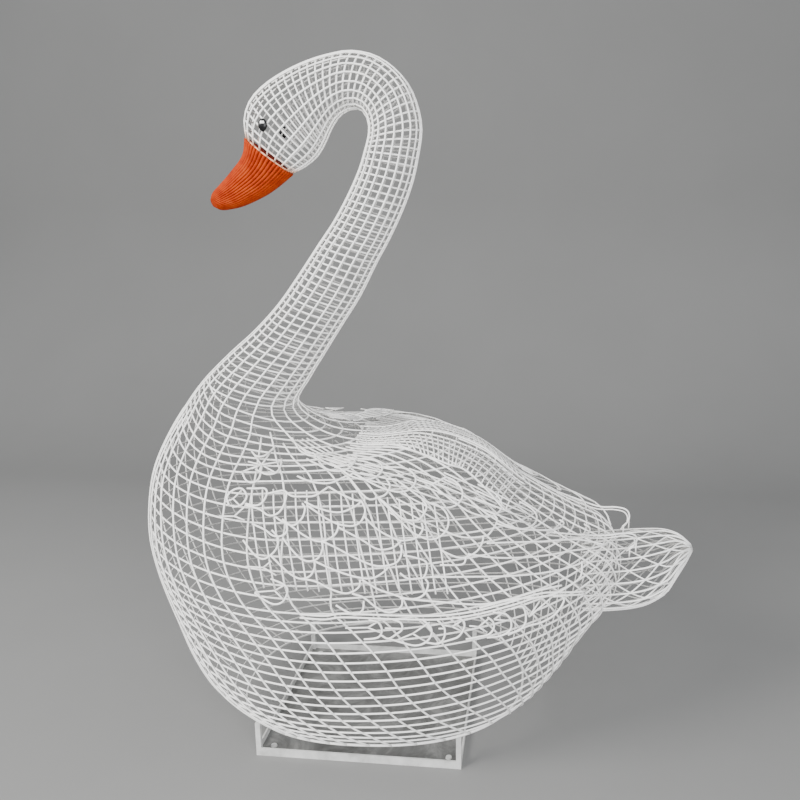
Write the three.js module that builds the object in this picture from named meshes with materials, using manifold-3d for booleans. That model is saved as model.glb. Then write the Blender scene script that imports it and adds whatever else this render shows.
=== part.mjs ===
// Standing swan of welded steel mesh on a square tray.
// Millimetres, +Z up, the swan faces -X, the origin is under the middle of the tray.
import * as THREE from 'three';
import Module from 'manifold-3d';

// Tray
const TRAY_SIDE = 500;
const RIM_HEIGHT = 20;
const RIM_WALL = 4;
const PLATE = 4;
const STUD_INSET = 33;      // from the tray's side to the middle of a stud
const STUD_RADIUS = 9;
const STUD_RISE = 4;
const POST_SIDE = 12;       // corner posts that carry the body at its hem
const POST_TOP = 87;

// Welded cage
const SHELL = 9;            // depth of a bar, inward
const BAR = 12;             // width of a bar on the skin
const JOINT_GAP = 0.4;      // between parts that stand against each other
const AROUND_BODY = 16;
const AROUND_NECK = 8;
const AROUND_TAIL = 8;
const NECK_ROWS = [0, 1.3, 2.6, 3.9, 5.3, 6.6, 7.8, 9, 10.2, 11.5, 13.2, 15, 16.9, 18.8, 20.4, 21.99];
const BODY_ROWS = [22.01, 23.6, 25.1, 26.6, 28.1, 29.6, 31.1, 32.4, 33.5];   // open under the belly
const TAIL_ROWS = [0, 0.38, 0.68, 0.87, 1];

// Rings of the skin, from the root of the beak over the head and down the neck to the belly.
// The cage ends at an open hem above the tray; the last rings only carry its curve on.
// Each one: front point x, z; back point x, z; half width; fullness of the oval (2 = ellipse).
const RINGS = [
  [-174, 1378, -283, 1462, 50, 2], [-152, 1387, -285, 1504, 64, 2], [-130, 1400, -269, 1544, 72, 2],
  [-110, 1418, -233, 1578, 76, 2], [-95, 1442, -182, 1607, 76, 2], [-82, 1469, -127, 1629, 73, 2],
  [-67, 1495, -71, 1643, 70, 2], [-45, 1513, -23, 1648, 67, 2], [-21, 1518, 30, 1637, 65, 2],
  [-5, 1512, 75, 1609, 64, 2], [6, 1494, 109, 1570, 64, 2], [8, 1472, 129, 1521, 65, 2],
  [4, 1452, 136, 1473, 66, 2], [-3, 1430, 128, 1418, 66, 2], [-18, 1386, 114, 1358, 67, 2],
  [-46, 1329, 89, 1293, 70, 2], [-81, 1270, 57, 1228, 72, 2], [-120, 1216, 25, 1172, 76, 2],
  [-167, 1150, -18, 1091, 80, 2], [-222, 1077, -65, 1020, 85, 2], [-284, 1012, -112, 948, 94, 2],
  [-354, 951, -150, 889, 110, 2], [-421, 886, -187, 815, 135, 2], [-472, 820, -108, 760, 180, 2],
  [-514, 749, 6, 745, 250, 2.05], [-543, 676, 146, 757, 315, 2.1], [-556, 600, 277, 716, 360, 2.15],
  [-558, 522, 388, 632, 385, 2.2], [-545, 445, 504, 566, 398, 2.25], [-524, 368, 612, 508, 400, 2.3],
  [-499, 292, 622, 412, 395, 2.3], [-471, 216, 563, 318, 380, 2.3], [-433, 145, 504, 219, 355, 2.3],
  [-376, 89, 437, 129, 320, 2.3], [-310, 42, 349, 66, 270, 2.3], [-235, 21, 258, 30, 200, 2.3],
];
const NECK_BASE = 22;       // ring where the neck is parted from the body

// Tail: x, height of the middle, half width, half thickness
const TAIL = [
  [560, 412, 172, 78], [635, 421, 172, 78], [680, 430, 162, 76], [725, 445, 137, 68],
  [750, 463, 105, 51], [776, 477, 68, 30], [800, 481, 26, 12],
];

// Wings: angle from straight up at the body's axis, x of the front edge, x of the rear edge
const AXIS_HEIGHT = 450;
const WING_EDGE = [
  [6, -80, 575], [20, -140, 618], [30, -205, 632], [40, -250, 628], [50, -256, 610], [60, -244, 588],
  [70, -230, 566], [77, -195, 552], [83, -135, 538], [88, -74, 522],
];
const WING_LIFT = 18;       // inner face of the wing above the skin
const WING_DEPTH = 8;
const WING_COLUMNS = 9;
const WING_ROWS = 5;
const WING_STRETCH = [470, 540];   // the wing runs on straight behind these sections

// Beak: upper point x, z; lower point x, z; half width
const BEAK = [
  [-283, 1462, -174, 1378, 48], [-287, 1432, -205, 1354, 43], [-297, 1412, -236, 1333, 38],
  [-315, 1392, -268, 1317, 34], [-335, 1371, -300, 1304, 31], [-355, 1352, -330, 1297, 28],
  [-371, 1337, -353, 1295, 21], [-378, 1323, -370, 1302, 9],
];
const BEAK_RIDGES = 14;
const BEAK_GROOVE = 1.6;

// Eyes
const EYE = { x: -216, z: 1479, halfLength: 11, halfHeight: 15, halfDepth: 5 };

const paint = new THREE.MeshStandardMaterial({ color: '#f1efe9', roughness: 0.45, metalness: 0.0 });
const orange = new THREE.MeshStandardMaterial({ color: '#c8491f', roughness: 0.5, metalness: 0.0 });
const black = new THREE.MeshStandardMaterial({ color: '#121212', roughness: 0.15, metalness: 0.0 });
const zinc = new THREE.MeshStandardMaterial({ color: '#b9bab8', roughness: 0.45, metalness: 0.7 });

const V = (x, y, z) => new THREE.Vector3(x, y, z);
const signedPower = (c, e) => Math.sign(c) * Math.pow(Math.abs(c), e);

function buildMesh(name, material, points, faces) {
  const geometry = new THREE.BufferGeometry();
  geometry.setAttribute('position', new THREE.Float32BufferAttribute(points.flatMap((p) => [p.x, p.y, p.z]), 3));
  geometry.setIndex(faces.flat());
  geometry.computeVertexNormals();
  const mesh = new THREE.Mesh(geometry, material);
  mesh.name = name;
  return mesh;
}

// Smooth reading of a table between its rows.
function between(table, t) {
  const last = table.length - 1;
  const clamped = Math.min(Math.max(t, 0), last - 1e-9);
  const i = Math.floor(clamped);
  const u = clamped - i;
  const row = (k) => {
    if (k < 0) return table[0].map((v, c) => 2 * v - table[1][c]);
    if (k > last) return table[last].map((v, c) => 2 * v - table[last - 1][c]);
    return table[k];
  };
  const [a, b, c, d] = [row(i - 1), row(i), row(i + 1), row(i + 2)];
  return b.map((v, k) => 0.5 * (2 * v + (c[k] - a[k]) * u
    + (2 * a[k] - 5 * v + 4 * c[k] - d[k]) * u * u + (3 * v - a[k] - 3 * c[k] + d[k]) * u ** 3));
}

// Straight reading of a table by its first column.
function lookUp(table, key, column) {
  for (let i = 1; i < table.length; i += 1) {
    if (key <= table[i][0] || i === table.length - 1) {
      const f = (key - table[i - 1][0]) / (table[i][0] - table[i - 1][0]);
      return table[i - 1][column] + f * (table[i][column] - table[i - 1][column]);
    }
  }
  return table[0][column];
}

// Skin of body, neck and head
function skin(t, turn) {
  const [fx, fz, bx, bz, width, full] = between(RINGS, t);
  const c = signedPower(Math.cos(turn), 2 / full);
  const s = signedPower(Math.sin(turn), 2 / full);
  return V((fx + bx) / 2 + ((fx - bx) / 2) * c, -width * s, (fz + bz) / 2 + ((fz - bz) / 2) * c);
}

function skinNormal(t, turn) {
  const along = skin(Math.min(t + 0.03, RINGS.length - 1), turn).sub(skin(Math.max(t - 0.03, 0), turn));
  const across = skin(t, turn + 0.01).sub(skin(t, turn - 0.01));
  return along.cross(across).normalize();
}

// Half breadth of the body at a place in the side view, or -1 outside it.
const bodyRows = Array.from({ length: 601 }, (_, i) => {
  const t = NECK_BASE + (i * (RINGS.length - 1 - NECK_BASE)) / 600;
  return between(RINGS, t);
});
function halfBreadth(x, z) {
  let previous = null;
  for (const row of bodyRows) {
    const [fx, fz, bx, bz, width, full] = row;
    const dx = bx - fx;
    const dz = bz - fz;
    const side = ((x - fx) * dz - (z - fz) * dx) / Math.hypot(dx, dz);
    if (previous && previous.side * side <= 0) {
      const f = previous.side / (previous.side - side || 1);
      const place = (r) => (2 * ((x - r[0]) * (r[2] - r[0]) + (z - r[1]) * (r[3] - r[1])))
        / ((r[2] - r[0]) ** 2 + (r[3] - r[1]) ** 2) - 1;
      const s = place(previous.row) * (1 - f) + place(row) * f;
      if (Math.abs(s) <= 1) {
        const w = previous.row[4] * (1 - f) + width * f;
        return w * Math.pow(1 - Math.pow(Math.abs(s), full), 1 / full);
      }
    }
    previous = { side, row };
  }
  return -1;
}
const insideBody = (p) => Math.abs(p.y) < halfBreadth(p.x, p.z);

// Openwork shell over a grid of outer and inner points
// rows x columns of cells, each cell an open window in a frame of bars.
function openwork(outer, inner, { closed, bar, capEnd = false }) {
  const points = [];
  const faces = [];
  const rows = outer.length - 1;
  const columns = closed ? outer[0].length : outer[0].length - 1;
  const put = (p) => points.push(p) - 1;
  const quad = (a, b, c, d) => faces.push([a, b, c], [a, c, d]);
  const oi = outer.map((r) => r.map(put));
  const ii = inner.map((r) => r.map(put));
  const next = (j) => (closed ? (j + 1) % columns : j + 1);
  const blend = (grid, i, j, u, v) => {
    const [a, b, c, d] = [grid[i][j], grid[i + 1][j], grid[i + 1][next(j)], grid[i][next(j)]];
    return a.clone().multiplyScalar((1 - u) * (1 - v)).addScaledVector(b, u * (1 - v))
      .addScaledVector(c, u * v).addScaledVector(d, (1 - u) * v);
  };
  for (let i = 0; i < rows; i += 1) {
    for (let j = 0; j < columns; j += 1) {
      const k = next(j);
      const [a, b, c, d] = [outer[i][j], outer[i + 1][j], outer[i + 1][k], outer[i][k]];
      const tall = (a.distanceTo(b) + c.distanceTo(d)) / 2;
      const wide = Math.max((a.distanceTo(d) + b.distanceTo(c)) / 2, 1);
      const part = (size, edge) => Math.min(0.36, (edge ? bar : bar / 2) / size);
      const u0 = part(tall, i === 0);
      const u1 = 1 - part(tall, i === rows - 1 && !capEnd);
      const v0 = part(wide, !closed && j === 0);
      const v1 = 1 - part(wide, !closed && j === columns - 1);
      const corners = [[u0, v0], [u1, v0], [u1, v1], [u0, v1]];
      const wo = corners.map(([u, v]) => put(blend(outer, i, j, u, v)));
      const wi = corners.map(([u, v]) => put(blend(inner, i, j, u, v)));
      const co = [oi[i][j], oi[i + 1][j], oi[i + 1][k], oi[i][k]];
      const ci = [ii[i][j], ii[i + 1][j], ii[i + 1][k], ii[i][k]];
      for (let e = 0; e < 4; e += 1) {
        const f = (e + 1) % 4;
        quad(co[e], co[f], wo[f], wo[e]);
        quad(ci[f], ci[e], wi[e], wi[f]);
        quad(wo[e], wo[f], wi[f], wi[e]);
      }
      const wall = (e, f) => quad(co[f], co[e], ci[e], ci[f]);
      if (i === 0) wall(3, 0);
      if (i === rows - 1 && !capEnd) wall(1, 2);
      if (!closed && j === 0) wall(0, 1);
      if (!closed && j === columns - 1) wall(2, 3);
    }
  }
  if (capEnd) {
    for (const [grid, index, turned] of [[outer, oi, false], [inner, ii, true]]) {
      const middle = V(0, 0, 0);
      grid[rows].forEach((p) => middle.add(p));
      const hub = put(middle.divideScalar(columns));
      for (let j = 0; j < columns; j += 1) {
        const [p, q] = [index[rows][j], index[rows][next(j)]];
        faces.push(turned ? [p, q, hub] : [q, p, hub]);
      }
    }
  }
  return { points, faces };
}

function cageOverSkin(name, rows, around) {
  const turns = Array.from({ length: around }, (_, j) => (2 * Math.PI * j) / around);
  const outer = rows.map((t) => turns.map((a) => skin(t, a)));
  const inner = rows.map((t, i) => turns.map((a, j) => outer[i][j].clone().addScaledVector(skinNormal(t, a), -SHELL)));
  const { points, faces } = openwork(outer, inner, { closed: true, bar: BAR });
  return buildMesh(name, paint, points, faces);
}

// Tail
function tailPoint(f, turn, inset) {
  const x0 = TAIL[0][0];
  const x = x0 + f * (TAIL[TAIL.length - 1][0] - x0);
  const width = lookUp(TAIL, x, 2) - inset;
  const thick = lookUp(TAIL, x, 3) - inset;
  return V(x, Math.max(width, 4) * Math.sin(turn), lookUp(TAIL, x, 1) + Math.max(thick, 3) * Math.cos(turn));
}
function tailRoot(turn, inset) {
  let f = 0;
  while (f < 0.5 && insideBody(tailPoint(f, turn, inset))) f += 0.002;
  return f + 0.012;
}
function tailCage() {
  const turns = Array.from({ length: AROUND_TAIL }, (_, j) => (2 * Math.PI * (j + 0.5)) / AROUND_TAIL);
  const line = (turn, inset) => {
    const root = tailRoot(turn, inset);
    return TAIL_ROWS.map((r) => tailPoint(root + r * (1 - root), turn, inset));
  };
  const swap = (lines) => TAIL_ROWS.map((_, i) => lines.map((l) => l[i]));
  const outer = swap(turns.map((a) => line(a, 0)));
  const inner = swap(turns.map((a) => line(a, SHELL)));
  inner[TAIL_ROWS.length - 1].forEach((p) => { p.x -= SHELL; });
  const { points, faces } = openwork(outer, inner, { closed: true, bar: BAR, capEnd: true });
  return buildMesh('tail_cage', paint, points, faces);
}

// Wings
function wingRadius(x, angle) {
  const reach = (at) => {
    let low = 0;
    let high = 700;
    for (let n = 0; n < 28; n += 1) {
      const r = (low + high) / 2;
      if (insideBody(V(at, r * Math.sin(angle), AXIS_HEIGHT + r * Math.cos(angle)))) low = r; else high = r;
    }
    return low;
  };
  const [a, b] = WING_STRETCH;
  if (x <= b) return reach(x);
  return reach(b) + ((reach(b) - reach(a)) * (x - b)) / (b - a);
}
function wing(name, side) {
  const top = WING_EDGE[0][0];
  const low = WING_EDGE[WING_EDGE.length - 1][0];
  const grid = (lift) => Array.from({ length: WING_COLUMNS + 1 }, (_, i) => (
    Array.from({ length: WING_ROWS + 1 }, (_unused, j) => {
      const degrees = top + ((low - top) * j) / WING_ROWS;
      const angle = (degrees * Math.PI) / 180;
      const front = lookUp(WING_EDGE, degrees, 1);
      const x = front + ((lookUp(WING_EDGE, degrees, 2) - front) * i) / WING_COLUMNS;
      const r = wingRadius(x, angle) + lift;
      return V(x, side * r * Math.sin(angle), AXIS_HEIGHT + r * Math.cos(angle));
    })));
  let { points, faces } = openwork(grid(WING_LIFT + WING_DEPTH), grid(WING_LIFT), { closed: false, bar: BAR });
  if (side < 0) faces = faces.map(([a, b, c]) => [a, c, b]);
  return buildMesh(name, paint, points, faces);
}

// Beak: closed solid with lengthwise ridges
function beak() {
  const count = 2 * BEAK_RIDGES;
  const points = [];
  const faces = [];
  BEAK.forEach(([ux, uz, lx, lz, width], i) => {
    const half = V(ux - lx, 0, uz - lz).multiplyScalar(0.5);
    const shift = i === 0 ? V(lz - uz, 0, ux - lx).normalize().multiplyScalar(JOINT_GAP) : V(0, 0, 0);
    const middle = V((ux + lx) / 2, 0, (uz + lz) / 2).add(shift);
    for (let j = 0; j < count; j += 1) {
      const turn = (2 * Math.PI * j) / count;
      const ridge = 1 - (j % 2 ? BEAK_GROOVE / Math.max(half.length(), 12) : 0);
      points.push(middle.clone().addScaledVector(half, Math.cos(turn) * ridge).add(V(0, width * Math.sin(turn) * ridge, 0)));
    }
  });
  for (let i = 0; i < BEAK.length - 1; i += 1) {
    for (let j = 0; j < count; j += 1) {
      const k = (j + 1) % count;
      const [a, b, c, d] = [i * count + j, i * count + k, (i + 1) * count + k, (i + 1) * count + j];
      faces.push([a, b, c], [a, c, d]);
    }
  }
  for (let j = 1; j < count - 1; j += 1) {
    const end = (BEAK.length - 1) * count;
    faces.push([0, j + 1, j], [end, end + j, end + j + 1]);
  }
  return buildMesh('beak', orange, points, faces);
}

// Eyes: black drops outside the mesh of the head
function eye(name, side) {
  const geometry = new THREE.SphereGeometry(1, 12, 8);
  geometry.scale(EYE.halfLength, EYE.halfDepth, EYE.halfHeight);
  const mesh = new THREE.Mesh(geometry, black);
  mesh.name = name;
  mesh.position.set(EYE.x, side * (EYE_REACH + EYE.halfDepth + JOINT_GAP), EYE.z);
  return mesh;
}
const EYE_REACH = 70;

// Tray: square pan with a low rim, a welded stud near each corner and a post at each corner
async function tray() {
  const wasm = await Module();
  wasm.setup();
  const solid = (geometry) => {
    const g = geometry.index ? geometry.toNonIndexed() : geometry;
    const pos = g.attributes.position;
    const key = new Map();
    const verts = [];
    const tris = [];
    for (let i = 0; i < pos.count; i += 1) {
      const p = [pos.getX(i), pos.getY(i), pos.getZ(i)];
      const id = p.map((v) => v.toFixed(4)).join(',');
      if (!key.has(id)) { key.set(id, verts.length / 3); verts.push(...p); }
      tris.push(key.get(id));
    }
    const kept = [];
    for (let i = 0; i < tris.length; i += 3) {
      const [a, b, c] = tris.slice(i, i + 3);
      if (a !== b && b !== c && a !== c) kept.push(a, b, c);
    }
    return new wasm.Manifold(new wasm.Mesh({
      numProp: 3, vertProperties: new Float32Array(verts), triVerts: new Uint32Array(kept),
    }));
  };
  const inside = TRAY_SIDE - 2 * RIM_WALL;
  let pan = solid(new THREE.BoxGeometry(TRAY_SIDE, TRAY_SIDE, RIM_HEIGHT).translate(0, 0, RIM_HEIGHT / 2));
  pan = pan.subtract(solid(new THREE.BoxGeometry(inside, inside, RIM_HEIGHT).translate(0, 0, PLATE + RIM_HEIGHT / 2)));
  for (const sx of [-1, 1]) {
    for (const sy of [-1, 1]) {
      const at = TRAY_SIDE / 2 - STUD_INSET;
      const stud = new THREE.CylinderGeometry(STUD_RADIUS * 0.75, STUD_RADIUS, STUD_RISE + 1, 12);
      stud.rotateX(Math.PI / 2).translate(sx * at, sy * at, PLATE - 1 + (STUD_RISE + 1) / 2);
      pan = pan.add(solid(stud));
      const post = new THREE.BoxGeometry(POST_SIDE, POST_SIDE, POST_TOP - PLATE);
      const corner = (TRAY_SIDE - POST_SIDE) / 2;
      post.translate(sx * corner, sy * corner, (POST_TOP + PLATE) / 2);
      pan = pan.add(solid(post));
    }
  }
  const { vertProperties, triVerts, numProp } = pan.getMesh();
  const points = [];
  for (let i = 0; i < vertProperties.length; i += numProp) {
    points.push(V(vertProperties[i], vertProperties[i + 1], vertProperties[i + 2]));
  }
  const faces = [];
  for (let i = 0; i < triVerts.length; i += 3) faces.push([triVerts[i], triVerts[i + 1], triVerts[i + 2]]);
  return buildMesh('base_tray', zinc, points, faces);
}

const swan = new THREE.Group();
swan.name = 'wire_swan';
swan.add(
  await tray(),
  cageOverSkin('body_cage', BODY_ROWS, AROUND_BODY),
  cageOverSkin('neck_cage', NECK_ROWS, AROUND_NECK),
  tailCage(),
  wing('left_wing', -1),
  wing('right_wing', 1),
  beak(),
  eye('left_eye', -1),
  eye('right_eye', 1),
);

export default swan;
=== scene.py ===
# White wire mesh swan on a square steel tray, in metres, +Z up, the swan faces -X.
import math

import bpy
import numpy as np
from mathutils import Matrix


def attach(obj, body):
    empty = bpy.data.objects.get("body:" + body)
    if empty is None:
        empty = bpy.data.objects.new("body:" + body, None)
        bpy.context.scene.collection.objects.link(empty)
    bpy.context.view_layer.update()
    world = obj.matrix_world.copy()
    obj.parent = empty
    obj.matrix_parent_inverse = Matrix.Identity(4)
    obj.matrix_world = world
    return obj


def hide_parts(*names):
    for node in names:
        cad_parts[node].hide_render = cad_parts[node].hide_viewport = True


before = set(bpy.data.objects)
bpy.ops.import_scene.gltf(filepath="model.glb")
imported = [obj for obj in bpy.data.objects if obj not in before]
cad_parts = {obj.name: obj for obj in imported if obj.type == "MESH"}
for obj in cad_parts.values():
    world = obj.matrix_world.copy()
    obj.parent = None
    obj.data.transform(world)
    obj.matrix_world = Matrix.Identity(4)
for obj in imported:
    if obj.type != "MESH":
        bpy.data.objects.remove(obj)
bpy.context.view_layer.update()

# Camera, where the photograph was taken from
CAMERA_AT = (0.400, -1.8925, 1.2682)
CAMERA_YAW, CAMERA_PITCH = 5.95, 12.64
FOCAL_PIXELS, PICTURE_PIXELS, SENSOR_MM = 795, 800, 36.0
SHIFT_X = -0.0652        # the photograph's middle lies beside the camera's axis
cam_data = bpy.data.cameras.new("camera")
camera = bpy.data.objects.new("camera", cam_data)
bpy.context.scene.collection.objects.link(camera)
bpy.context.scene.camera = camera
camera.location = CAMERA_AT
camera.rotation_euler = (math.radians(90 - CAMERA_PITCH), 0, math.radians(CAMERA_YAW))
cam_data.sensor_width = SENSOR_MM
cam_data.lens = FOCAL_PIXELS / PICTURE_PIXELS * SENSOR_MM
cam_data.shift_x = SHIFT_X
cam_data.clip_start = 0.01

# Wire sizes
ROD = 0.0021             # radius of the mesh rods
THIN = 0.0017            # radius of the ribs inside the feathers
HEM_ROD = 0.0032         # radius of the thick rod round the open underside
SINK = 0.004             # rods lie this far inside the skin of the coarse cage
HOOP_SINK = SINK + 1.6 * ROD                       # the hoops cross behind the lengthwise rods
FEATHER_LIFT = 0.022     # the feathers' rods lie this far above the body's skin
RIB_LIFT = FEATHER_LIFT - 0.003                    # ribs lie just under the outlines
BACKING_LIFT = FEATHER_LIFT - 0.004                # and the rods behind the feathers under the ribs

# Skin of body, neck and head: front x, z; back x, z; half width (mm); fullness
RINGS = np.array([
    [-174, 1378, -283, 1462, 50, 2], [-152, 1387, -285, 1504, 64, 2], [-130, 1400, -269, 1544, 72, 2],
    [-110, 1418, -233, 1578, 76, 2], [-95, 1442, -182, 1607, 76, 2], [-82, 1469, -127, 1629, 73, 2],
    [-67, 1495, -71, 1643, 70, 2], [-45, 1513, -23, 1648, 67, 2], [-21, 1518, 30, 1637, 65, 2],
    [-5, 1512, 75, 1609, 64, 2], [6, 1494, 109, 1570, 64, 2], [8, 1472, 129, 1521, 65, 2],
    [4, 1452, 136, 1473, 66, 2], [-3, 1430, 128, 1418, 66, 2], [-18, 1386, 114, 1358, 67, 2],
    [-46, 1329, 89, 1293, 70, 2], [-81, 1270, 57, 1228, 72, 2], [-120, 1216, 25, 1172, 76, 2],
    [-167, 1150, -18, 1091, 80, 2], [-222, 1077, -65, 1020, 85, 2], [-284, 1012, -112, 948, 94, 2],
    [-354, 951, -150, 889, 110, 2], [-421, 886, -187, 815, 135, 2], [-472, 820, -108, 760, 180, 2],
    [-514, 749, 6, 745, 250, 2.05], [-543, 676, 146, 757, 315, 2.1], [-556, 600, 277, 716, 360, 2.15],
    [-558, 522, 388, 632, 385, 2.2], [-545, 445, 504, 566, 398, 2.25], [-524, 368, 612, 508, 400, 2.3],
    [-499, 292, 622, 412, 395, 2.3], [-471, 216, 563, 318, 380, 2.3], [-433, 145, 504, 219, 355, 2.3],
    [-376, 89, 437, 129, 320, 2.3], [-310, 42, 349, 66, 270, 2.3], [-235, 21, 258, 30, 200, 2.3],
]) / np.array([1000, 1000, 1000, 1000, 1000, 1])
HEM = 33.5               # the body is open below this ring
NECK_BASE = 22           # the ring where the neck's rods begin to spread over the body

# Tail: x, height of the middle, half width, half thickness (mm)
TAIL = np.array([
    [530, 408, 168, 74], [560, 412, 172, 78], [635, 421, 172, 78], [680, 430, 162, 76], [725, 445, 137, 68],
    [750, 463, 105, 51], [776, 477, 68, 30], [797, 481, 22, 10],
]) / 1000

# Wing coordinates are x in mm and the angle in degrees from straight up, about the body's axis.
AXIS_HEIGHT = 0.45       # metres
WING_STRETCH = (0.47, 0.54)                        # past this stretch of x the skin's slope there goes on
FLUSH_UP_TO, RISE_OVER = 28, 30                    # degrees: flush on top of the back, then rising

# Coverts, the short feathers: outlines of their round tips, x and angle
FEATHERS = [
    [(-234, 57), (-242, 54.5), (-231, 52.5), (-213, 52), (-200, 53.5), (-197, 55), (-207, 57), (-225, 57.5)],
    [(-200, 52), (-179, 52), (-160, 52), (-153, 53.5), (-159, 56), (-173, 57), (-197, 56.5)],
    [(-151, 53.5), (-116, 52.5), (-110, 55), (-116, 58), (-130, 59.5), (-145, 59.5), (-164, 58), (-197, 57)],
    [(-116, 52.5), (-98, 54), (-75, 54), (-49, 53.5), (-25, 50.5)],
    [(-97, 47.5), (-70, 49), (-42, 49.5), (-20, 49), (-1, 47), (7, 46)],
    [(-25, 50.5), (3, 52.5), (33, 54), (47, 54)],
    [(-69, 55.5), (-41, 57), (-6, 58), (17, 57.5), (40, 55.5), (47, 54)],
    [(47, 54), (57, 56.5), (56, 58.5), (48, 60.5), (29, 61.5), (-9, 60.5), (-63, 56.5)],
    [(4, 60.5), (6, 62), (0, 64), (-16, 65.5), (-36, 66), (-65, 64.5), (-112, 60.5)],
    [(-73, 56), (-66, 57.5), (-70, 60), (-86, 62), (-106, 61.5), (-127, 60)],
    [(-104, 61), (-100, 63.5), (-112, 65), (-130, 65), (-148, 63.5), (-177, 62)],
    [(-133, 63.5), (-119, 65.5), (-120, 68), (-131, 70), (-149, 71.5), (-169, 70.5), (-196, 66.5)],
    [(-26, 66), (-24, 68), (-32, 70.5), (-49, 71.5), (-68, 71), (-89, 68.5), (-109, 65.5)],
    [(-41, 71), (-39, 73), (-48, 75.5), (-68, 76.5), (-88, 75.5), (-108, 73.5), (-133, 70.5)],
    [(-133, 77), (-103, 78.5), (-97, 80.5), (-108, 83.5), (-129, 84.5), (-155, 83), (-170, 81.5)],
    [(56, 76), (54, 78), (40, 79.5), (23, 80), (-4, 79), (-38, 77), (-68, 76.5)],
    [(173, 59), (176, 61), (166, 63.5), (148, 64.5), (125, 64.5), (86, 62), (56, 58.5)],
    [(134, 65), (117, 67), (88, 67.5), (54, 65), (6, 62)],
    [(136, 66), (136, 69), (128, 71), (109, 72), (81, 72), (42, 70), (3, 67.5), (-25, 66)],
    [(112, 72.5), (101, 74), (82, 75.5), (54, 75.5), (10, 74), (-39, 71.5)],
    [(141, 69), (164, 69.5), (186, 70.5), (190, 72.5), (185, 75), (172, 75.5), (153, 75.5), (136, 74)],
    [(188, 75.5), (194, 77), (189, 79.5), (173, 81), (150, 81), (126, 80), (92, 78.5), (59, 76)],
    [(143, 81), (142, 83), (131, 84.5), (112, 85), (88, 83.5), (64, 81), (40, 80)],
    [(64, 82), (62, 84.5), (47, 86), (25, 85), (6, 83.5)],
    [(90, 45.5), (100, 48), (95, 51), (80, 52.5), (56, 53), (8, 46)],
    [(169, 51), (180, 53.5), (170, 57.5), (155, 58.5), (131, 58), (100, 54.5), (80, 52.5)],
    [(-69, 39), (-44, 43.5), (-17, 44.5), (5, 43), (13, 38)],
    [(-187, 30.5), (-189, 33.5), (-196, 37.5), (-213, 38), (-229, 35.5)],
    [(-196, 45), (-168, 47), (-148, 46.5), (-144, 44), (-154, 38.5)],
    [(-225, 46), (-206, 49.5), (-187, 50), (-179, 48), (-187, 43)],
    [(320, 51.5), (327, 53), (326, 55.5), (314, 60), (301, 61.5), (260, 62.5), (211, 60.5)],
    [(301, 61.5), (299, 64), (289, 67), (268, 69), (247, 69), (214, 67)],
    [(268, 69), (264, 71), (248, 71.5), (216, 71.5)],
    [(468, 40), (478, 42), (474, 47), (458, 52), (422, 55), (370, 56.5), (327, 55.5)],
    [(530, 28), (542, 34), (540, 44.5), (526, 53.5), (494, 57.5), (434, 61)],
    [(452, 82.5), (470, 83), (475, 85), (458, 89), (431, 91), (398, 91.5), (359, 93.5)],
    [(364, 85), (386, 84.5), (394, 86.5), (395, 90), (382, 92.5), (353, 93)],
    [(327, 85.5), (354, 86.5), (365, 89), (363, 92), (343, 93.5), (316, 93.5)],
    [(317, 87), (328, 88.5), (330, 90.5), (320, 92.5), (299, 93), (273, 93.5)],
    [(245, 86.5), (261, 87), (269, 88), (269, 90), (258, 92.5), (239, 93.5), (212, 94.5)],
    [(74, 87.5), (93, 88), (101, 90), (98, 92), (87, 93), (63, 93.5)],
    [(122, 87), (140, 88), (143, 90), (131, 91.5), (114, 93), (100, 92)],
    [(184, 87), (200, 89), (203, 91.5), (191, 94), (169, 95), (140, 94), (116, 93)],
    [(214, 87), (229, 89.5), (229, 92.5), (217, 94.5), (191, 94)],
]
# Stems and forks inside the small feathers: both ends, x and angle
SPOKES = [
    ((-190, 42.5), (-225, 46)), ((-190, 42.5), (-224, 41)), ((-190, 42.5), (-216, 38)),
    ((-190, 42.5), (-188, 34)), ((-190, 42.5), (-154, 40)), ((-190, 42.5), (-151, 46)),
    ((-190, 42.5), (-186, 46)), ((-190, 42.5), (-207, 44.5)), ((-190, 74), (-151, 74)),
    ((-151, 74), (-133, 72)), ((-151, 74), (-122, 76)), ((-170, 81.5), (-126, 80.5)),
    ((-126, 80.5), (-102, 78.5)), ((-126, 80.5), (-107, 83)), ((-256, 60), (-220, 60)),
    ((-220, 60), (-196, 57)), ((-220, 60), (-196, 61)), ((-246, 56), (-228, 55)),
    ((-228, 55), (-212, 52.5)), ((-228, 55), (-210, 57)), ((24, 90.5), (71, 90)),
    ((71, 90), (93, 88)), ((71, 90), (100, 91.5)), ((107, 90), (142, 90)),
    ((164, 91.5), (199, 88)), ((164, 91.5), (191, 94)), ((164, 91.5), (133, 93.5)),
    ((191, 88), (217, 94.5)), ((217, 90), (229, 90)), ((280, 89.5), (299, 90)),
    ((299, 90), (320, 87.5)), ((299, 90), (316, 92)), ((330, 88), (354, 85.5)),
    ((330, 88), (364, 89)), ((402, 88.5), (424, 83.5)), ((402, 88.5), (452, 82.5)),
    ((402, 88.5), (396, 86)), ((227, 89), (245, 89.5)), ((245, 89.5), (267, 87.5)),
    ((245, 89.5), (264, 91)),
]
# Larger coverts near the back: tip x, tip angle, length, width, slope towards the ground
COVERTS = [
    (-66, 32, 115, 66, 38), (7, 40, 120, 66, 35), (75, 43, 110, 68, 14), (150, 45, 131, 68, 6),
    (225, 60, 132, 72, 20), (250, 47, 140, 76, 10), (335, 46, 150, 76, 8), (415, 47, 154, 76, 6),
]
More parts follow.
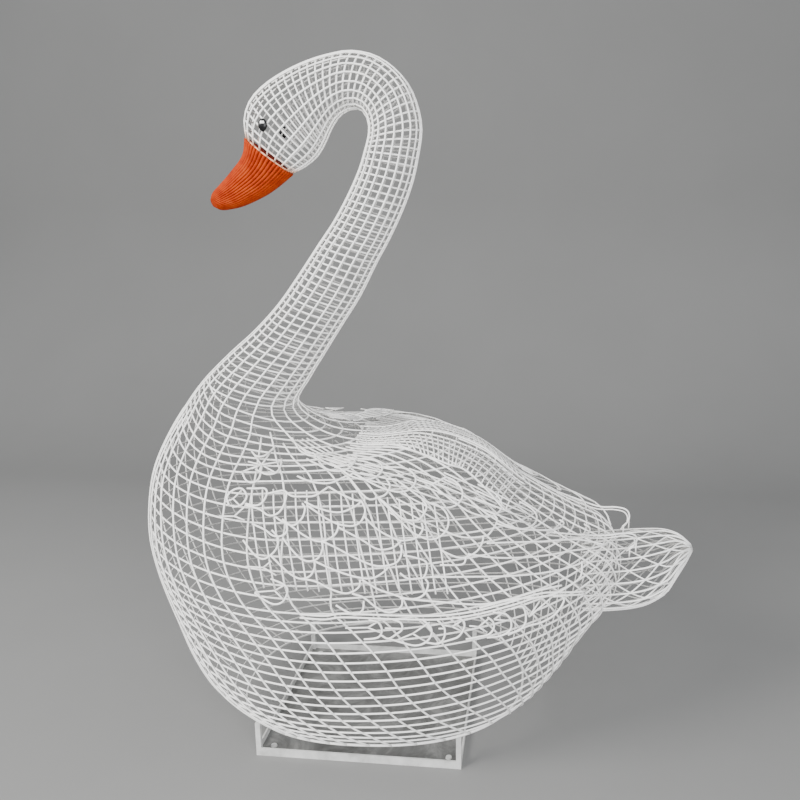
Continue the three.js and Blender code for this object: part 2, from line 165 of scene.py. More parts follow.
# Primaries, the long feathers: points of each lower edge, x and angle
PRIMARIES = [
    [(309, 64), (357, 63), (434, 61), (514, 57), (573, 58)],
    [(271, 68), (338, 69), (423, 68), (490, 65), (561, 60), (593, 48), (603, 28)],
    [(197, 75), (278, 75), (360, 75), (445, 74), (511, 71), (560, 64)],
    [(138, 81), (219, 82), (301, 83), (382, 82), (445, 82), (493, 79), (513, 76), (516, 70)],
    [(-72, 88), (-20, 88), (25, 87), (139, 87), (220, 87), (291, 86), (362, 84), (435, 82), (522, 84)],
    [(300, 84), (362, 82), (420, 80), (470, 79)],
]
# Upturned leaf at the end of each wing: x, distance from the middle, height (mm)
TIP_LEAF = [
    (438, 160, 571), (509, 130, 556), (575, 100, 544), (618, 90, 547),
    (643, 85, 544), (653, 80, 533), (651, 75, 516), (636, 70, 501),
]
# Mantle strip along the middle of the back: its upper and lower edge, x and angle
MANTLE_UPPER = [(-34, 2), (10, 2), (97, 2), (177, 4), (250, 5), (323, 5), (385, 5)]
MANTLE_LOWER = [(-47, 15), (41, 17), (121, 25), (169, 28), (215, 30), (248, 30), (296, 37), (343, 47)]
MANTLE_RUNGS = 30
# Beak: upper point x, z; lower point x, z; half width (mm)
BEAK = np.array([
    [-283, 1462, -174, 1378, 48], [-287, 1432, -205, 1354, 43], [-297, 1412, -236, 1333, 38],
    [-315, 1392, -268, 1317, 34], [-335, 1371, -300, 1304, 31], [-355, 1352, -330, 1297, 28],
    [-371, 1337, -353, 1295, 21], [-378, 1323, -370, 1302, 9],
]) / 1000
BEAK_RODS = 42


def between(table, t):
    """Smooth reading of a table between its rows, for one t or many."""
    t = np.clip(np.atleast_1d(np.asarray(t, float)), 0, len(table) - 1 - 1e-9)
    padded = np.vstack([2 * table[0] - table[1], table, 2 * table[-1] - table[-2]])
    i = t.astype(int)
    u = (t - i)[:, None]
    a, b, c, d = padded[i], padded[i + 1], padded[i + 2], padded[i + 3]
    return 0.5 * (2 * b + (c - a) * u + (2 * a - 5 * b + 4 * c - d) * u ** 2
                  + (3 * b - a - 3 * c + d) * u ** 3)


def power(c, e):
    """A power that keeps the sign."""
    return np.sign(c) * np.abs(c) ** e


def skin(t, turn, sink=SINK):
    """Points of the skin; turn 0 is the front, pi the back, and positive turns go to the left side."""
    t, turn = np.broadcast_arrays(np.atleast_1d(np.asarray(t, float)), np.asarray(turn, float))
    r = between(RINGS, t)
    half = np.hypot(r[:, 0] - r[:, 2], r[:, 1] - r[:, 3]) / 2
    c = power(np.cos(turn), 2 / r[:, 5]) * (1 - sink / half)
    s = power(np.sin(turn), 2 / r[:, 5])
    x = (r[:, 0] + r[:, 2]) / 2 + (r[:, 0] - r[:, 2]) / 2 * c
    z = (r[:, 1] + r[:, 3]) / 2 + (r[:, 1] - r[:, 3]) / 2 * c
    return np.stack([x, -(r[:, 4] - sink) * s, z], 1)


def even(path, step):
    """The same path with points about step apart."""
    p = np.asarray(path, float)
    s = np.r_[0, np.cumsum(np.linalg.norm(np.diff(p, axis=0), axis=1))]
    n = max(2, int(round(s[-1] / step)) + 1)
    k = np.linspace(0, s[-1], n)
    return np.stack([np.interp(k, s, p[:, c]) for c in range(p.shape[1])], 1)


def smooth(points, per_span=10):
    """A smooth line through a few points."""
    p = np.asarray(points, float)
    return between(p, np.linspace(0, len(p) - 1, (len(p) - 1) * per_span + 1))


class Wires:
    """Round rods gathered into one mesh. Where the way out is given, the faces towards the hollow take the
    second material, a darker grey that is painted shade, so that rods on the far side look dim through the
    mesh."""

    def __init__(self, sides=6):
        self.sides = sides
        self.verts, self.faces, self.mats = [], [], []
        self.count, self.length = 0, 0.0

    def add(self, path, radius=ROD, closed=False, out=None):
        p = np.asarray(path, float)
        n = len(p)
        if n < 2:
            return
        t = np.roll(p, -1, 0) - np.roll(p, 1, 0) if closed else np.gradient(p, axis=0)
        t /= np.maximum(np.linalg.norm(t, axis=1), 1e-9)[:, None]
        off_centre = np.array([0.0003, 0.0007, 0.0005])             # so that no direction is zero
        h = p - p.mean(0) + off_centre if out is None else np.asarray(out, float)
        a = h - (h * t).sum(1)[:, None] * t
        a /= np.maximum(np.linalg.norm(a, axis=1), 1e-9)[:, None]
        if out is None:
            for i in range(1, n):                  # keep the section from flipping along the rod
                side = a[i - 1] - a[i - 1].dot(t[i]) * t[i]
                a[i] = side / max(np.linalg.norm(side), 1e-9)
        b = np.cross(t, a)
        k = self.sides
        w = np.arange(k) * 2 * np.pi / k
        r = np.broadcast_to(np.asarray(radius, float), (n,))[:, None, None]
        across = np.cos(w)[None, :, None] * a[:, None] + np.sin(w)[None, :, None] * b[:, None]
        ring = p[:, None] + r * across
        self.verts.append(ring.reshape(-1, 3))
        rows = np.arange(n if closed else n - 1)
        nxt = (rows + 1) % n
        j = np.arange(k)
        jn = (j + 1) % k
        base = self.count
        q = np.stack([base + rows[:, None] * k + j, base + rows[:, None] * k + jn,
                      base + nxt[:, None] * k + jn, base + nxt[:, None] * k + j], 2).reshape(-1, 4)
        self.faces.extend(q.tolist())
        shade = [0] * k
        # faces turned towards the hollow get the painted shade material
        if out is not None:
            for face in range(k // 3, k - k // 3):
                shade[face] = 1
        self.mats.extend(shade * len(rows))
        if not closed:
            self.faces.append([base + v for v in range(k - 1, -1, -1)])
            self.faces.append([base + (n - 1) * k + v for v in range(k)])
            self.mats.extend([0, 0])
        self.count += n * k
        self.length += np.linalg.norm(np.diff(p, axis=0), axis=1).sum()

    def build(self, name, materials):
        mesh = bpy.data.meshes.new(name)
        mesh.from_pydata(np.concatenate(self.verts).tolist(), [], self.faces)
        for m in materials:
            mesh.materials.append(m)
        mesh.polygons.foreach_set("material_index", self.mats)
        mesh.polygons.foreach_set("use_smooth", [True] * len(self.faces))
        mesh.update()
        obj = bpy.data.objects.new(name, mesh)
        bpy.context.scene.collection.objects.link(obj)
        return obj


# Materials
def new_material(name):
    """A new node material, with its nodes, its links and its shader."""
    m = bpy.data.materials.new(name)
    m.use_nodes = True
    t = m.node_tree
    return m, t.nodes, t.links, t.nodes["Principled BSDF"]


def node(nodes, kind, **values):
    """A new node with the given settings and input values."""
    n = nodes.new(kind)
    for key, value in values.items():
        if hasattr(n, key):
            setattr(n, key, value)
        else:
            n.inputs[key.replace("_", " ")].default_value = value
    return n


def ramp(nodes, stops):
    """A colour ramp with the given places and colours."""
    r = nodes.new("ShaderNodeValToRGB")
    e = r.color_ramp.elements
    while len(e) < len(stops):
        e.new(0.5)
    for item, (place, colour) in zip(e, stops):
        item.position = place
        item.color = (*colour, 1)
    return r


def span(nodes, links, value, low, high, to_low=0.0, to_high=1.0):
    """A value spread from low..high to to_low..to_high."""
    m = nodes.new("ShaderNodeMapRange")
    for key, v in (("From Min", low), ("From Max", high), ("To Min", to_low), ("To Max", to_high)):
        m.inputs[key].default_value = v
    links.new(value, m.inputs["Value"])
    return m.outputs["Result"]


def maths(nodes, links, operation, a, b):
    """One operation on two values or sockets."""
    m = node(nodes, "ShaderNodeMath", operation=operation)
    for socket, v in zip(m.inputs, (a, b)):
        if isinstance(v, (int, float)):
            socket.default_value = v
        else:
            links.new(v, socket)
    return m.outputs[0]


def mixed(nodes, links, factor, a, b):
    """Colour a where the factor is 0 and b where it is 1."""
    m = node(nodes, "ShaderNodeMix", data_type="RGBA")
    links.new(factor, m.inputs["Factor"])
    for socket, v in ((m.inputs[6], a), (m.inputs[7], b)):
        if isinstance(v, tuple):
            socket.default_value = (*v, 1)
        else:
            links.new(v, socket)
    return m.outputs[2]


def coating(name, stops, rough=(0.35, 0.6), scale=60.0, bump=0.15, metallic=0.0):
    """Worn paint or metal: blotches of colour and gloss, and a fine grain."""
    m, nodes, links, bsdf = new_material(name)
    coords = nodes.new("ShaderNodeTexCoord")
    patches = node(nodes, "ShaderNodeTexNoise", Scale=scale, Detail=6.0, Roughness=0.6)
    links.new(coords.outputs["Object"], patches.inputs["Vector"])
    colours = ramp(nodes, stops)
    links.new(patches.outputs["Fac"], colours.inputs["Fac"])
    links.new(colours.outputs["Color"], bsdf.inputs["Base Color"])
    links.new(span(nodes, links, patches.outputs["Fac"], 0, 1, *rough), bsdf.inputs["Roughness"])
    grain = node(nodes, "ShaderNodeTexNoise", Scale=scale * 8, Detail=3.0)
    links.new(coords.outputs["Object"], grain.inputs["Vector"])
    lift = node(nodes, "ShaderNodeBump", Strength=bump, Distance=0.0006)
    links.new(grain.outputs["Fac"], lift.inputs["Height"])
    links.new(lift.outputs["Normal"], bsdf.inputs["Normal"])
    bsdf.inputs["Metallic"].default_value = metallic
    return m, nodes, links, bsdf, coords.outputs["Object"], colours.outputs["Color"]


WHITE_STOPS = [(0.22, (0.74, 0.72, 0.68)), (0.38, (0.92, 0.91, 0.88)), (0.7, (0.97, 0.965, 0.945))]
BEAK_ROOT = (-0.2285, 0.0, 1.420)
BEAK_AXIS = (-0.61, 0.0, -0.79)


def white_with_overspray():
    """White paint, with the beak's orange fading out over the first wires of the head."""
    m, nodes, links, bsdf, place, white = coating("white_rod_paint", WHITE_STOPS)
    offset = node(nodes, "ShaderNodeVectorMath", operation="SUBTRACT")
    links.new(place, offset.inputs[0])
    offset.inputs[1].default_value = BEAK_ROOT
    along = node(nodes, "ShaderNodeVectorMath", operation="DOT_PRODUCT")
    links.new(offset.outputs[0], along.inputs[0])
    along.inputs[1].default_value = BEAK_AXIS
    far = node(nodes, "ShaderNodeVectorMath", operation="LENGTH")
    links.new(offset.outputs[0], far.inputs[0])
    near_root = span(nodes, links, far.outputs["Value"], 0.085, 0.080)
    fade = span(nodes, links, along.outputs["Value"], -0.026, 0.004)
    mask = maths(nodes, links, "MULTIPLY", maths(nodes, links, "POWER", fade, 1.8), near_root)
    links.new(mixed(nodes, links, mask, white, (0.80, 0.30, 0.08)), bsdf.inputs["Base Color"])
    return m


white = white_with_overspray()
feather_white = coating("feather_rod_paint", WHITE_STOPS)[0]
# darker grey for the rods' faces towards the hollow: painted shade that dims the far side's rods
shaded = coating("rod_inner_side_painted_shade", [(0.3, (0.34, 0.335, 0.325)), (0.7, (0.50, 0.495, 0.48))])[0]
ORANGE_STOPS = [(0.3, (0.24, 0.018, 0.003)), (0.5, (0.34, 0.034, 0.005)), (0.75, (0.42, 0.060, 0.010))]
orange = coating("orange_paint", ORANGE_STOPS, rough=(0.5, 0.7), scale=45.0)[0]
# darker orange on the beak's core between the rods: painted shade in the grooves
GROOVE_SHADE_STOPS = [(0.3, (0.16, 0.008, 0.0)), (0.6, (0.26, 0.015, 0.0))]
groove_shade_orange = coating("orange_with_painted_groove_shade", GROOVE_SHADE_STOPS, rough=(0.6, 0.8), scale=45.0)[0]
BLACK_STOPS = [(0.3, (0.004, 0.004, 0.004)), (0.7, (0.012, 0.012, 0.013))]
black = coating("black_gloss", BLACK_STOPS, rough=(0.22, 0.3))[0]
for paint, specular in ((orange, 0.06), (groove_shade_orange, 0.06), (black, 0.25)):
    paint.node_tree.nodes["Principled BSDF"].inputs["Specular IOR Level"].default_value = specular
# white for the fleck on each eye: a painted highlight
eye_painted_highlight = coating("eye_painted_highlight", [(0.3, (0.85, 0.85, 0.83)), (0.7, (0.92, 0.92, 0.90))], rough=(0.2, 0.3))[0]


PLATE_HALF, PLATE_TOP = 0.2462, 0.0046             # the dull plate ends here, just inside the rim and on top


def tray_metal():
    """Galvanised sheet: bright rim and posts, a dull scratched plate inside."""
    m, nodes, links, bsdf, place, colour = coating(
        "tray_steel", [(0.3, (0.50, 0.50, 0.48)), (0.5, (0.68, 0.68, 0.66)), (0.7, (0.80, 0.80, 0.78))],
        rough=(0.35, 0.6), scale=22.0, metallic=0.25)
    axes = nodes.new("ShaderNodeSeparateXYZ")
    links.new(place, axes.inputs[0])
    reach = maths(nodes, links, "MAXIMUM", maths(nodes, links, "ABSOLUTE", axes.outputs[0], 0.0),
                  maths(nodes, links, "ABSOLUTE", axes.outputs[1], 0.0))
    inside = maths(nodes, links, "MULTIPLY", span(nodes, links, reach, PLATE_HALF, PLATE_HALF - 0.0006),
                   span(nodes, links, axes.outputs[2], PLATE_TOP, PLATE_TOP - 0.0004))
    scratches = node(nodes, "ShaderNodeTexNoise", Scale=9.0, Detail=8.0, Roughness=0.7, Distortion=1.5)
    links.new(place, scratches.inputs["Vector"])
    dull = ramp(nodes, [(0.35, (0.10, 0.10, 0.095)), (0.5, (0.17, 0.17, 0.165)), (0.62, (0.26, 0.26, 0.25))])
    links.new(scratches.outputs["Fac"], dull.inputs["Fac"])
    links.new(mixed(nodes, links, inside, colour, dull.outputs["Color"]), bsdf.inputs["Base Color"])
    return m


steel = tray_metal()


# The cage: neck with head, body. A rod's points are about a step apart, in metres.
NECK_STEP, ROD_STEP, HOOP_STEP, TAIL_STEP = 0.018, 0.022, 0.026, 0.014
cage = Wires()


def outward(t, turn):
    """Way out of the skin, from the middle of the ring."""
    r = between(RINGS, t)
    middle = np.stack([(r[:, 0] + r[:, 2]) / 2, np.zeros(len(r)), (r[:, 1] + r[:, 3]) / 2], 1)
    return skin(t, turn) - middle


def skin_rod(t, turn, step, sink=SINK, radius=ROD, closed=False):
    """A rod that lies on the skin through the given places."""
    place = even(np.concatenate([skin(t, turn, sink), outward(t, turn)], 1), step)
    if closed:
        place = place[:-1]
    cage.add(place[:, :3], radius, closed, out=place[:, 3:])


# Hoops of the neck and head, spaced by the mean of the runs along the middle and along the outer side
NECK_HOOPS = 70
fine = np.linspace(0, NECK_BASE, 400)
spine = between(RINGS, fine)
middle = (spine[:, 0:2] + spine[:, 2:4]) / 2
middle_run = np.r_[0, np.cumsum(np.linalg.norm(np.diff(middle, axis=0), axis=1))]
outer_run = np.r_[0, np.cumsum(np.linalg.norm(np.diff(spine[:, 2:4], axis=0), axis=1))]
pace = 0.5 * middle_run / middle_run[-1] + 0.5 * outer_run / outer_run[-1]
turns = np.linspace(0, 2 * np.pi, 120)
for k in range(NECK_HOOPS):
    t = np.interp(k / (NECK_HOOPS - 0.5), pace, fine)
    skin_rod(np.full(len(turns), t), turns, NECK_STEP, HOOP_SINK, closed=True)

# Hoops of the body, by their ring at the side: wider apart on the breast than on the belly
HOOPS = np.r_[np.arange(22.15, 24.4, 0.34), np.arange(24.55, 28.3, 0.40), np.arange(28.6, HEM - 0.15, 0.285)]


def hoop_at(t0, turn):
    """Hoops above the waist slope down towards the tail. Those below are lowest at the side."""
    c = np.cos(turn)
    tilt = np.abs(c) ** 1.4
    below = np.interp(t0, [27.2, 29.6], [0, 1])
    front = (1 - below) * 1.4 * tilt + below * 1.3 * c ** 2
    rear = np.interp(t0, [26.3, 28.6], [-1, 0]) * tilt + np.interp(t0, [28.6, 31], [0, 1.2]) * c ** 2
    return t0 - np.where(c > 0, front, rear) * np.interp(t0, [22, 24.5, 30.5, HEM], [0.3, 1, 1, 0])


TAIL_FRONT = 0.598       # hoops stop here, where the tail's mesh takes over
turns = np.linspace(-np.pi, np.pi, 400)
for t0 in HOOPS:
    t = hoop_at(t0, turns)
    keep = skin(t, turns)[:, 0] < TAIL_FRONT
    skin_rod(t[keep], turns[keep], HOOP_STEP, HOOP_SINK, closed=bool(keep.all()))
turns = np.linspace(0, 2 * np.pi, 400)
skin_rod(np.full(len(turns), HEM), turns, HOOP_STEP, SINK + HEM_ROD - ROD, HEM_ROD, closed=True)

# Lengthwise rods. Each is known by its turn m at the middle ring. From the neck they spread forwards over the
# breast, and below the middle ring they sweep towards the tail.
MIDDLE_RING, SWEEP_RING, SPREAD_RINGS = 28, 28.3, 6
SPREAD_AT = [0, 0.83, 1.04, 1.14, 1.23, 2.40, np.pi]
SPREAD_TO = [0, 0.83, 1.49, 1.79, 2.08, 2.70, np.pi]
NECK_RODS = 20
ROD_GAP = 0.105          # turn between two rods of the body
ROOM = 0.017             # a rod of the body starts where its neighbour is this far away


def rod_turn(m, t):
    """Turn of rod m at each ring t."""
    rear = min(max((m - 1.25) / 0.35, 0), 1)
    share = np.clip(MIDDLE_RING + 0.7 * rear - t, 0, SPREAD_RINGS) / SPREAD_RINGS
    above = (np.interp(m, SPREAD_AT, SPREAD_TO) - m) * share ** (2 - rear)
    down = np.linspace(SWEEP_RING + 0.4 * rear, HEM, 80)
    turn = [m]
    for depth in down[1:] - down[0]:
        faster = 1 + 1.2 * min(max((turn[-1] - 1.6) / 0.35, 0), 1)
        turn.append(turn[-1] + 0.06 * depth ** 0.5 * min(1, m / 0.5) * faster * (down[1] - down[0]))
    return above + np.interp(t, down, turn)


neck_at = np.interp((np.arange(NECK_RODS // 2) + 0.5) * 2 * np.pi / NECK_RODS, SPREAD_TO, SPREAD_AT)
rods = [(m, 0.0) for m in neck_at]
full = np.linspace(NECK_BASE, HEM - 0.3, 300)
ends = np.r_[-neck_at[0], neck_at, 2 * np.pi - neck_at[-1]]
for low, high in zip(ends[:-1], ends[1:]):
    count = int(round((high - low) / ROD_GAP))
    for i in range(1, count):
        m = low + (high - low) * i / count
        if not 0 < m < np.pi:
            continue
        beside = skin(full, rod_turn(min(m + (high - low) / count, np.pi), full))
        apart = np.linalg.norm(skin(full, rod_turn(m, full)) - beside, axis=1)
        free = full[(apart > ROOM) & (full > NECK_BASE + 0.5 + 0.5 * (i % 2))]
        if len(free):
            rods.append((m, free[0]))
for m, start in rods:
    t = np.linspace(start, HEM, 500)
    turn = rod_turn(m, t)
    t, turn = t[turn < np.pi - 0.02], turn[turn < np.pi - 0.02]
    for way in (1, -1):
        skin_rod(t, way * turn, ROD_STEP)


# Wings: the body's skin read about its axis, as a distance for each x and angle
GRID_X, GRID_STEP = -0.40, 0.005                   # x of the first row and between rows, in metres
GRID_COUNT, GRID_ANGLES = 215, 121                 # rows, and whole degrees from 0


def radius_grid():
    """Distance of the skin from the body's axis, for each x of the grid and each whole degree."""
    t = np.linspace(NECK_BASE, HEM, 500)
    turn = np.linspace(0, np.pi, 500)
    p = np.concatenate([skin(np.full(len(turn), v), turn, sink=0) for v in t])
    angle = np.degrees(np.arctan2(-p[:, 1], p[:, 2] - AXIS_HEIGHT))
    radius = np.hypot(p[:, 1], p[:, 2] - AXIS_HEIGHT)
    i = np.round((p[:, 0] - GRID_X) / GRID_STEP).astype(int)
    j = np.round(angle).astype(int)
    ok = (i >= 0) & (i < GRID_COUNT) & (j >= 0) & (j < GRID_ANGLES)
    total = np.zeros((GRID_COUNT, GRID_ANGLES))
    hits = np.zeros_like(total)
    np.add.at(total, (i[ok], j[ok]), radius[ok])
    np.add.at(hits, (i[ok], j[ok]), 1)
    grid = np.zeros_like(total)
    for row in range(GRID_COUNT):
        seen = np.where(hits[row] > 0)[0]
        if len(seen) > 3:
            grid[row] = np.interp(np.arange(GRID_ANGLES), seen, total[row, seen] / hits[row, seen])
    a, b = [int(round((v - GRID_X) / GRID_STEP)) for v in WING_STRETCH]
    for row in range(b + 1, GRID_COUNT):
        grid[row] = grid[b] + (grid[b] - grid[a]) * (row - b) / (b - a)
    return grid


SKIN_RADIUS = radius_grid()


def radius_at(x, degrees):
    """The grid read at any place, by shares of its four nearest values."""
    u = np.clip((x - GRID_X) / GRID_STEP, 0, GRID_COUNT - 1.001)
    v = np.clip(np.abs(degrees), 0, GRID_ANGLES - 1.001)
    i, j = u.astype(int), v.astype(int)
    u, v = u - i, v - j
    g = SKIN_RADIUS
    return (g[i, j] * (1 - u) * (1 - v) + g[i + 1, j] * u * (1 - v)
            + g[i, j + 1] * (1 - u) * v + g[i + 1, j + 1] * u * v)


def on_wing(points, side, lift=FEATHER_LIFT):
    """Wing coordinates (x in mm, angle in degrees) to places in space; side -1 is the left."""
    p = np.atleast_2d(np.asarray(points, float))
    x, degrees = p[:, 0] / 1000, p[:, 1]
    r = radius_at(x, degrees) + lift * np.clip((np.abs(degrees) - FLUSH_UP_TO) / RISE_OVER, 0.05, 1)
    a = np.radians(degrees)
    return np.stack([x, side * r * np.sin(a), AXIS_HEIGHT + r * np.cos(a)], 1)


def wing_rod(wires, points, side, lift=FEATHER_LIFT, radius=ROD):
    """A rod over the flank, through points given in wing coordinates."""
    place = on_wing(points, side, lift)
    axis = np.stack([place[:, 0], np.zeros(len(place)), np.full(len(place), AXIS_HEIGHT)], 1)
    wires.add(place, radius, out=place - axis)


def around_tip(tip, slope, local):
    """Points given along and across a feather (mm from its tip) as wing coordinates."""
    c, s = math.cos(math.radians(slope)), math.sin(math.radians(slope))
    u, v = np.asarray(local, float).T
    mm_per_degree = float(radius_at(np.array([tip[0] / 1000]), np.array([tip[1]]))[0]) * 1000 * math.pi / 180
    return np.stack([tip[0] + u * c - v * s, tip[1] + (u * s + v * c) / mm_per_degree], 1)


def tongue(length, width, back=0.1, top=-80):
    """Outline of a feather: long lower edge, round tip, and a short way back along the top."""
    edge = [(-length, 0.18 * width), (-0.72 * length, 0.36 * width),
            (-0.5 * width - 0.2 * length, 0.49 * width)]
    turn = np.radians(np.linspace(90, top, 9))
    tip = [(-0.5 * width + 0.5 * width * math.cos(a), 0.5 * width * math.sin(a)) for a in turn]
    return smooth(edge + tip + [(-0.5 * width - back * width, -0.5 * width)], 3)


MM_PER_DEGREE = 5.2      # on the flank, about
REACH_EDGE, REACH_TOP = 95, 50                     # how far a covert's two ends look for a neighbour, in mm
RIBS_AT = (-0.32, -0.11, 0.1, 0.31)                # across a covert, in widths
LEAF_DROP = 0.007        # the leaf's inner rod lies this far under its outline
LEAF_PROPS = 0.028       # length of the short rods that hold the leaf
BACKING_X = np.arange(-190, 200, 24)               # upper ends of the steep rods behind the feathers
EDGE_GAP = 1.1           # degrees between the two rods of the wing's lower edge


def reach_out(line, others, limit):
    """The line with one more point at its start, on another line that lies ahead of it."""
    flat = np.array([1, MM_PER_DEGREE])
    ahead = (line[0] - line[2]) * flat
    ahead /= np.linalg.norm(ahead)
    gap = (others - line[0]) * flat
    far = np.linalg.norm(gap, axis=1) + 1e-6
    straight = gap @ ahead / far
    score = np.where((straight > 0.35) & (far < limit), far * (2 - straight), np.inf)
    best = int(np.argmin(score))
    return np.vstack([others[best], line]) if np.isfinite(score[best]) else line


def feather_lines():
    """Outlines of the larger coverts, each joined to its neighbours at both ends."""
    lines = [around_tip((x, d), slope, tongue(length, width)) for x, d, length, width, slope in COVERTS]
    joined = []
    for i, line in enumerate(lines):
        others = np.concatenate([other for j, other in enumerate(lines) if j != i] + FEATHERS)
        line = reach_out(line, others, REACH_EDGE)
        joined.append(reach_out(line[::-1], others, REACH_TOP)[::-1])
    return joined


def wing(name, side, replaced):
    """All rods of one wing, as one piece; the length of its rods comes back."""
    w = Wires()
    for line in FEATHERS:
        wing_rod(w, smooth(line, 4), side)
    for x in BACKING_X:
        wing_rod(w, np.linspace((x, 52), (x + 40, 80), 8), side, BACKING_LIFT, THIN)
    for ends in SPOKES:
        wing_rod(w, even(ends, 12), side, RIB_LIFT, THIN)
    for line in feather_lines():
        wing_rod(w, line, side)
    for x, degrees, length, width, slope in COVERTS:
        for v in RIBS_AT:
            rib = [(-0.9 * length, v * width), (-0.75 * width, v * width), (-0.16 * width, v * 0.8 * width)]
            wing_rod(w, around_tip((x, degrees), slope, rib), side, RIB_LIFT, THIN)
    for edge in PRIMARIES:
        wing_rod(w, smooth(edge), side)
    leaf = smooth(np.array(TIP_LEAF) / 1000)
    for drop in (0, LEAF_DROP):
        w.add(leaf * [1, side, 1] - [0.6 * drop, 0, drop], ROD if drop == 0 else THIN)
    for at in (-3, -14):
        top = leaf[at] * [1, side, 1]
        w.add(np.linspace(top, top - [0, 0, LEAF_PROPS], 3), THIN)
    wing_rod(w, smooth([(x, a - EDGE_GAP) for x, a in PRIMARIES[4]]), side)
    upper, lower = smooth(MANTLE_UPPER), smooth(MANTLE_LOWER)
    wing_rod(w, upper, side)
    wing_rod(w, lower, side)
    for f in np.linspace(0.02, 1, MANTLE_RUNGS):
        ends = [line[min(int(f * (len(line) - 1)), len(line) - 1)] for line in (upper, lower)]
        wing_rod(w, np.linspace(ends[0], ends[1], 6), side, BACKING_LIFT, THIN)
    obj = w.build(name, [feather_white, shaded])
    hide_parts(replaced)
    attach(obj, "root")
    return w.length


wing_length = wing("left_wing_feathers", -1, "left_wing") + wing("right_wing_feathers", 1, "right_wing")


# Tail: lengthwise rods that meet at the tip, crossed by two sets of slanting ones
def tail_point(f, turn, inset):
    """Points at share f of the tail's length, inset from its skin; turn 0 is the top."""
    f, turn = np.broadcast_arrays(np.atleast_1d(np.asarray(f, float)), np.asarray(turn, float))
    x0, x1 = TAIL[0, 0], TAIL[-1, 0]
    x = x0 + f * (x1 - x0)
    rows = between(TAIL, np.interp(x, TAIL[:, 0], np.arange(len(TAIL))))
    wide, thick = np.maximum(rows[:, 2] - inset, 0.004), np.maximum(rows[:, 3] - inset, 0.003)
    return np.stack([x, wide * np.sin(turn), rows[:, 1] + thick * np.cos(turn)], 1)


def tail_rod(path, radius):
    path = even(path, TAIL_STEP)
    height = np.interp(path[:, 0], TAIL[:, 0], TAIL[:, 1])
    axis = np.stack([path[:, 0], np.zeros(len(path)), height], 1)
    cage.add(path, radius, out=path - axis)


TAIL_RODS, TAIL_SLANTS = 22, 11
TAIL_TWIST = 2.2         # turn of a slanting rod over the tail's length
steps = np.linspace(0, 1, 160)
for k in range(TAIL_RODS):
    path = tail_point(steps, 2 * np.pi * k / TAIL_RODS, SINK)
    tail_rod(path, ROD)
for way in (-1, 1):
    for k in range(TAIL_SLANTS):
        path = tail_point(steps, 2 * np.pi * k / TAIL_SLANTS + way * TAIL_TWIST * steps, SINK + 0.003)
        tail_rod(path, THIN)

swan = cage.build("swan_mesh", [white, shaded])
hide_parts("body_cage", "neck_cage", "tail_cage")
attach(swan, "root")


# Beak: a bundle of rods laid side by side over a closed core, which is a darker orange as painted shade in
# the grooves
def beak_ring(row, inset, turns):
    """Points round one section of the beak, inset from its outline."""
    ux, uz, lx, lz, width = row
    half = np.hypot(ux - lx, uz - lz) / 2
    c, s = np.cos(turns) * (1 - inset / max(half, 0.006)), np.sin(turns) * (width - min(inset, width * 0.6))
    return np.stack([(ux + lx) / 2 + (ux - lx) / 2 * c, s, (uz + lz) / 2 + (uz - lz) / 2 * c], 1)


CORE_SIDES = 56
BEAK_ROD_INSET, CORE_INSET = 0.0021, 0.0026
beak = Wires(sides=8)
sections = between(BEAK, np.linspace(0.05, 7, 40))
for k in range(BEAK_RODS):
    turn = 2 * np.pi * k / BEAK_RODS
    path = np.concatenate([beak_ring(row, BEAK_ROD_INSET, np.array([turn])) for row in sections])
    around = np.array([np.pi * (row[4] + np.hypot(row[0] - row[2], row[1] - row[3]) / 2) for row in sections])
    beak.add(path, np.clip(around / BEAK_RODS * 0.5, 0.0012, 0.0036))
core_turns = np.linspace(0, 2 * np.pi, CORE_SIDES, endpoint=False)
core = np.concatenate([beak_ring(row, CORE_INSET, core_turns) for row in sections])
root, tip = beak.count, beak.count + len(core) - CORE_SIDES
beak.verts.append(core)
for row in range(root, tip, CORE_SIDES):
    for j in range(CORE_SIDES):
        jn = (j + 1) % CORE_SIDES
        beak.faces.append([row + j, row + jn, row + CORE_SIDES + jn, row + CORE_SIDES + j])
beak.faces.append([root + j for j in reversed(range(CORE_SIDES))])
beak.faces.append([tip + j for j in range(CORE_SIDES)])
beak.mats.extend([1] * (len(beak.faces) - len(beak.mats)))
beak.count += len(core)
beak_piece = beak.build("beak_rods", [orange, groove_shade_orange])
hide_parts("beak")
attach(beak_piece, "root")

# Eyes: black drops with the point down and a white fleck, which is a painted highlight
EYE_AT = (-0.216, 0.0755, 1.479)
EYE_SIZE = (0.0105, 0.0045, 0.0148)
EYE_ROWS, EYE_COLUMNS = 24, 24
POINT = 0.55             # how much narrower the drop gets towards its point
HIGHLIGHT_UP = 0.0062
HIGHLIGHT_SIZE = (0.0042, 0.0034)


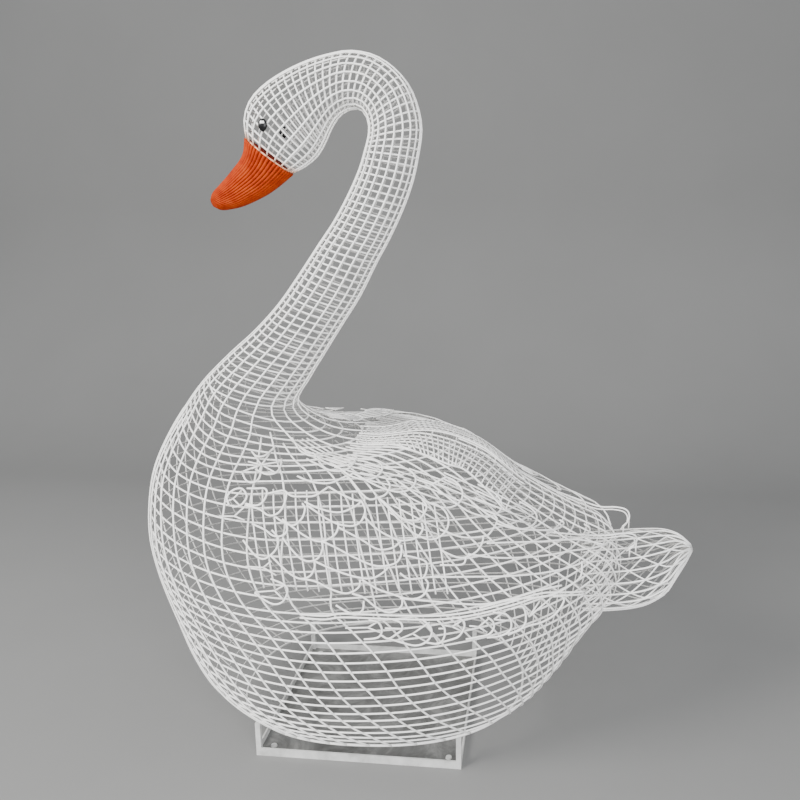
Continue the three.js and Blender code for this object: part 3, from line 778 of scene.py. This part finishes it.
def eye(name, side, replaced):
    """One drop, as rows of points from its top down."""
    verts, faces, mats = [], [], []
    for i in range(EYE_ROWS + 1):
        a = math.pi * i / EYE_ROWS
        z = math.cos(a)
        full = math.sin(a) * (1.0 if z > 0 else (1 - POINT * z * z))
        for j in range(EYE_COLUMNS):
            b = 2 * math.pi * j / EYE_COLUMNS
            verts.append((EYE_AT[0] + EYE_SIZE[0] * full * math.cos(b),
                          side * EYE_AT[1] + EYE_SIZE[1] * full * math.sin(b),
                          EYE_AT[2] + EYE_SIZE[2] * z))
    for i in range(EYE_ROWS):
        for j in range(EYE_COLUMNS):
            jn = (j + 1) % EYE_COLUMNS
            upper, lower = i * EYE_COLUMNS, (i + 1) * EYE_COLUMNS
            faces.append([upper + j, lower + j, lower + jn, upper + jn])
            c = np.mean([verts[v] for v in faces[-1]], axis=0)
            # faces in the painted highlight, on the outer side of the eye near its top
            in_highlight = (((c[0] - EYE_AT[0]) / HIGHLIGHT_SIZE[0]) ** 2
                     + ((c[2] - EYE_AT[2] - HIGHLIGHT_UP) / HIGHLIGHT_SIZE[1]) ** 2 < 1)
            mats.append(1 if in_highlight and (c[1] - side * EYE_AT[1]) * side > 0 else 0)
    mesh = bpy.data.meshes.new(name)
    mesh.from_pydata(verts, [], faces)
    mesh.materials.append(black)
    mesh.materials.append(eye_painted_highlight)
    mesh.polygons.foreach_set("material_index", mats)
    mesh.polygons.foreach_set("use_smooth", [True] * len(faces))
    mesh.update()
    obj = bpy.data.objects.new(name, mesh)
    bpy.context.scene.collection.objects.link(obj)
    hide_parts(replaced)
    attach(obj, "root")


eye("left_eye_drop", -1, "left_eye")
eye("right_eye_drop", 1, "right_eye")

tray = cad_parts["base_tray"]
tray.data.materials.clear()
tray.data.materials.append(steel)

# Floor and light
floor_mesh = bpy.data.meshes.new("floor")
HALF_WIDTH, BACK_AT, TALL, BEND = 9.0, 3.2, 5.0, 1.4
profile = [(-HALF_WIDTH, 0.0)] + [(BACK_AT - BEND + BEND * math.sin(a), BEND - BEND * math.cos(a))
                                  for a in np.linspace(0, math.pi / 2, 16)] + [(BACK_AT, TALL)]
verts = [(x, y, z) for y, z in profile for x in (-HALF_WIDTH, HALF_WIDTH)]
faces = [(2 * i, 2 * i + 1, 2 * i + 3, 2 * i + 2) for i in range(len(profile) - 1)]
floor_mesh.from_pydata(verts, [], faces)
floor_mesh.polygons.foreach_set("use_smooth", [True] * len(faces))
floor = bpy.data.objects.new("floor", floor_mesh)
bpy.context.scene.collection.objects.link(floor)
BACKDROP_STOPS = [(0.3, (0.19, 0.19, 0.186)), (0.7, (0.21, 0.21, 0.206))]
backdrop = coating("backdrop", BACKDROP_STOPS, rough=(0.8, 0.9), scale=0.6, bump=0.0)[0]
floor_mesh.materials.append(backdrop)

world = bpy.data.worlds.new("world")
bpy.context.scene.world = world
world.use_nodes = True
world.node_tree.nodes["Background"].inputs["Color"].default_value = (0.95, 0.97, 1.0, 1)
world.node_tree.nodes["Background"].inputs["Strength"].default_value = 1.0


def area(name, at, to, size, watts, colour=(1, 1, 1)):
    """A round soft light that looks from one place to another."""
    data = bpy.data.lights.new(name, "AREA")
    data.shape, data.size, data.energy, data.color = "DISK", size, watts, colour
    o = bpy.data.objects.new(name, data)
    bpy.context.scene.collection.objects.link(o)
    o.location = at
    d = np.array(to, float) - np.array(at, float)
    o.rotation_euler = (math.atan2(math.hypot(d[0], d[1]), -d[2]), 0, math.atan2(-d[0], d[1]))


area("key", (-2.4, -2.4, 3.0), (0, 0, 0.7), 1.8, 230, (1, 0.985, 0.96))
area("front", (1.0, -3.2, 1.6), (0, 0, 0.7), 2.2, 130, (0.97, 0.98, 1))
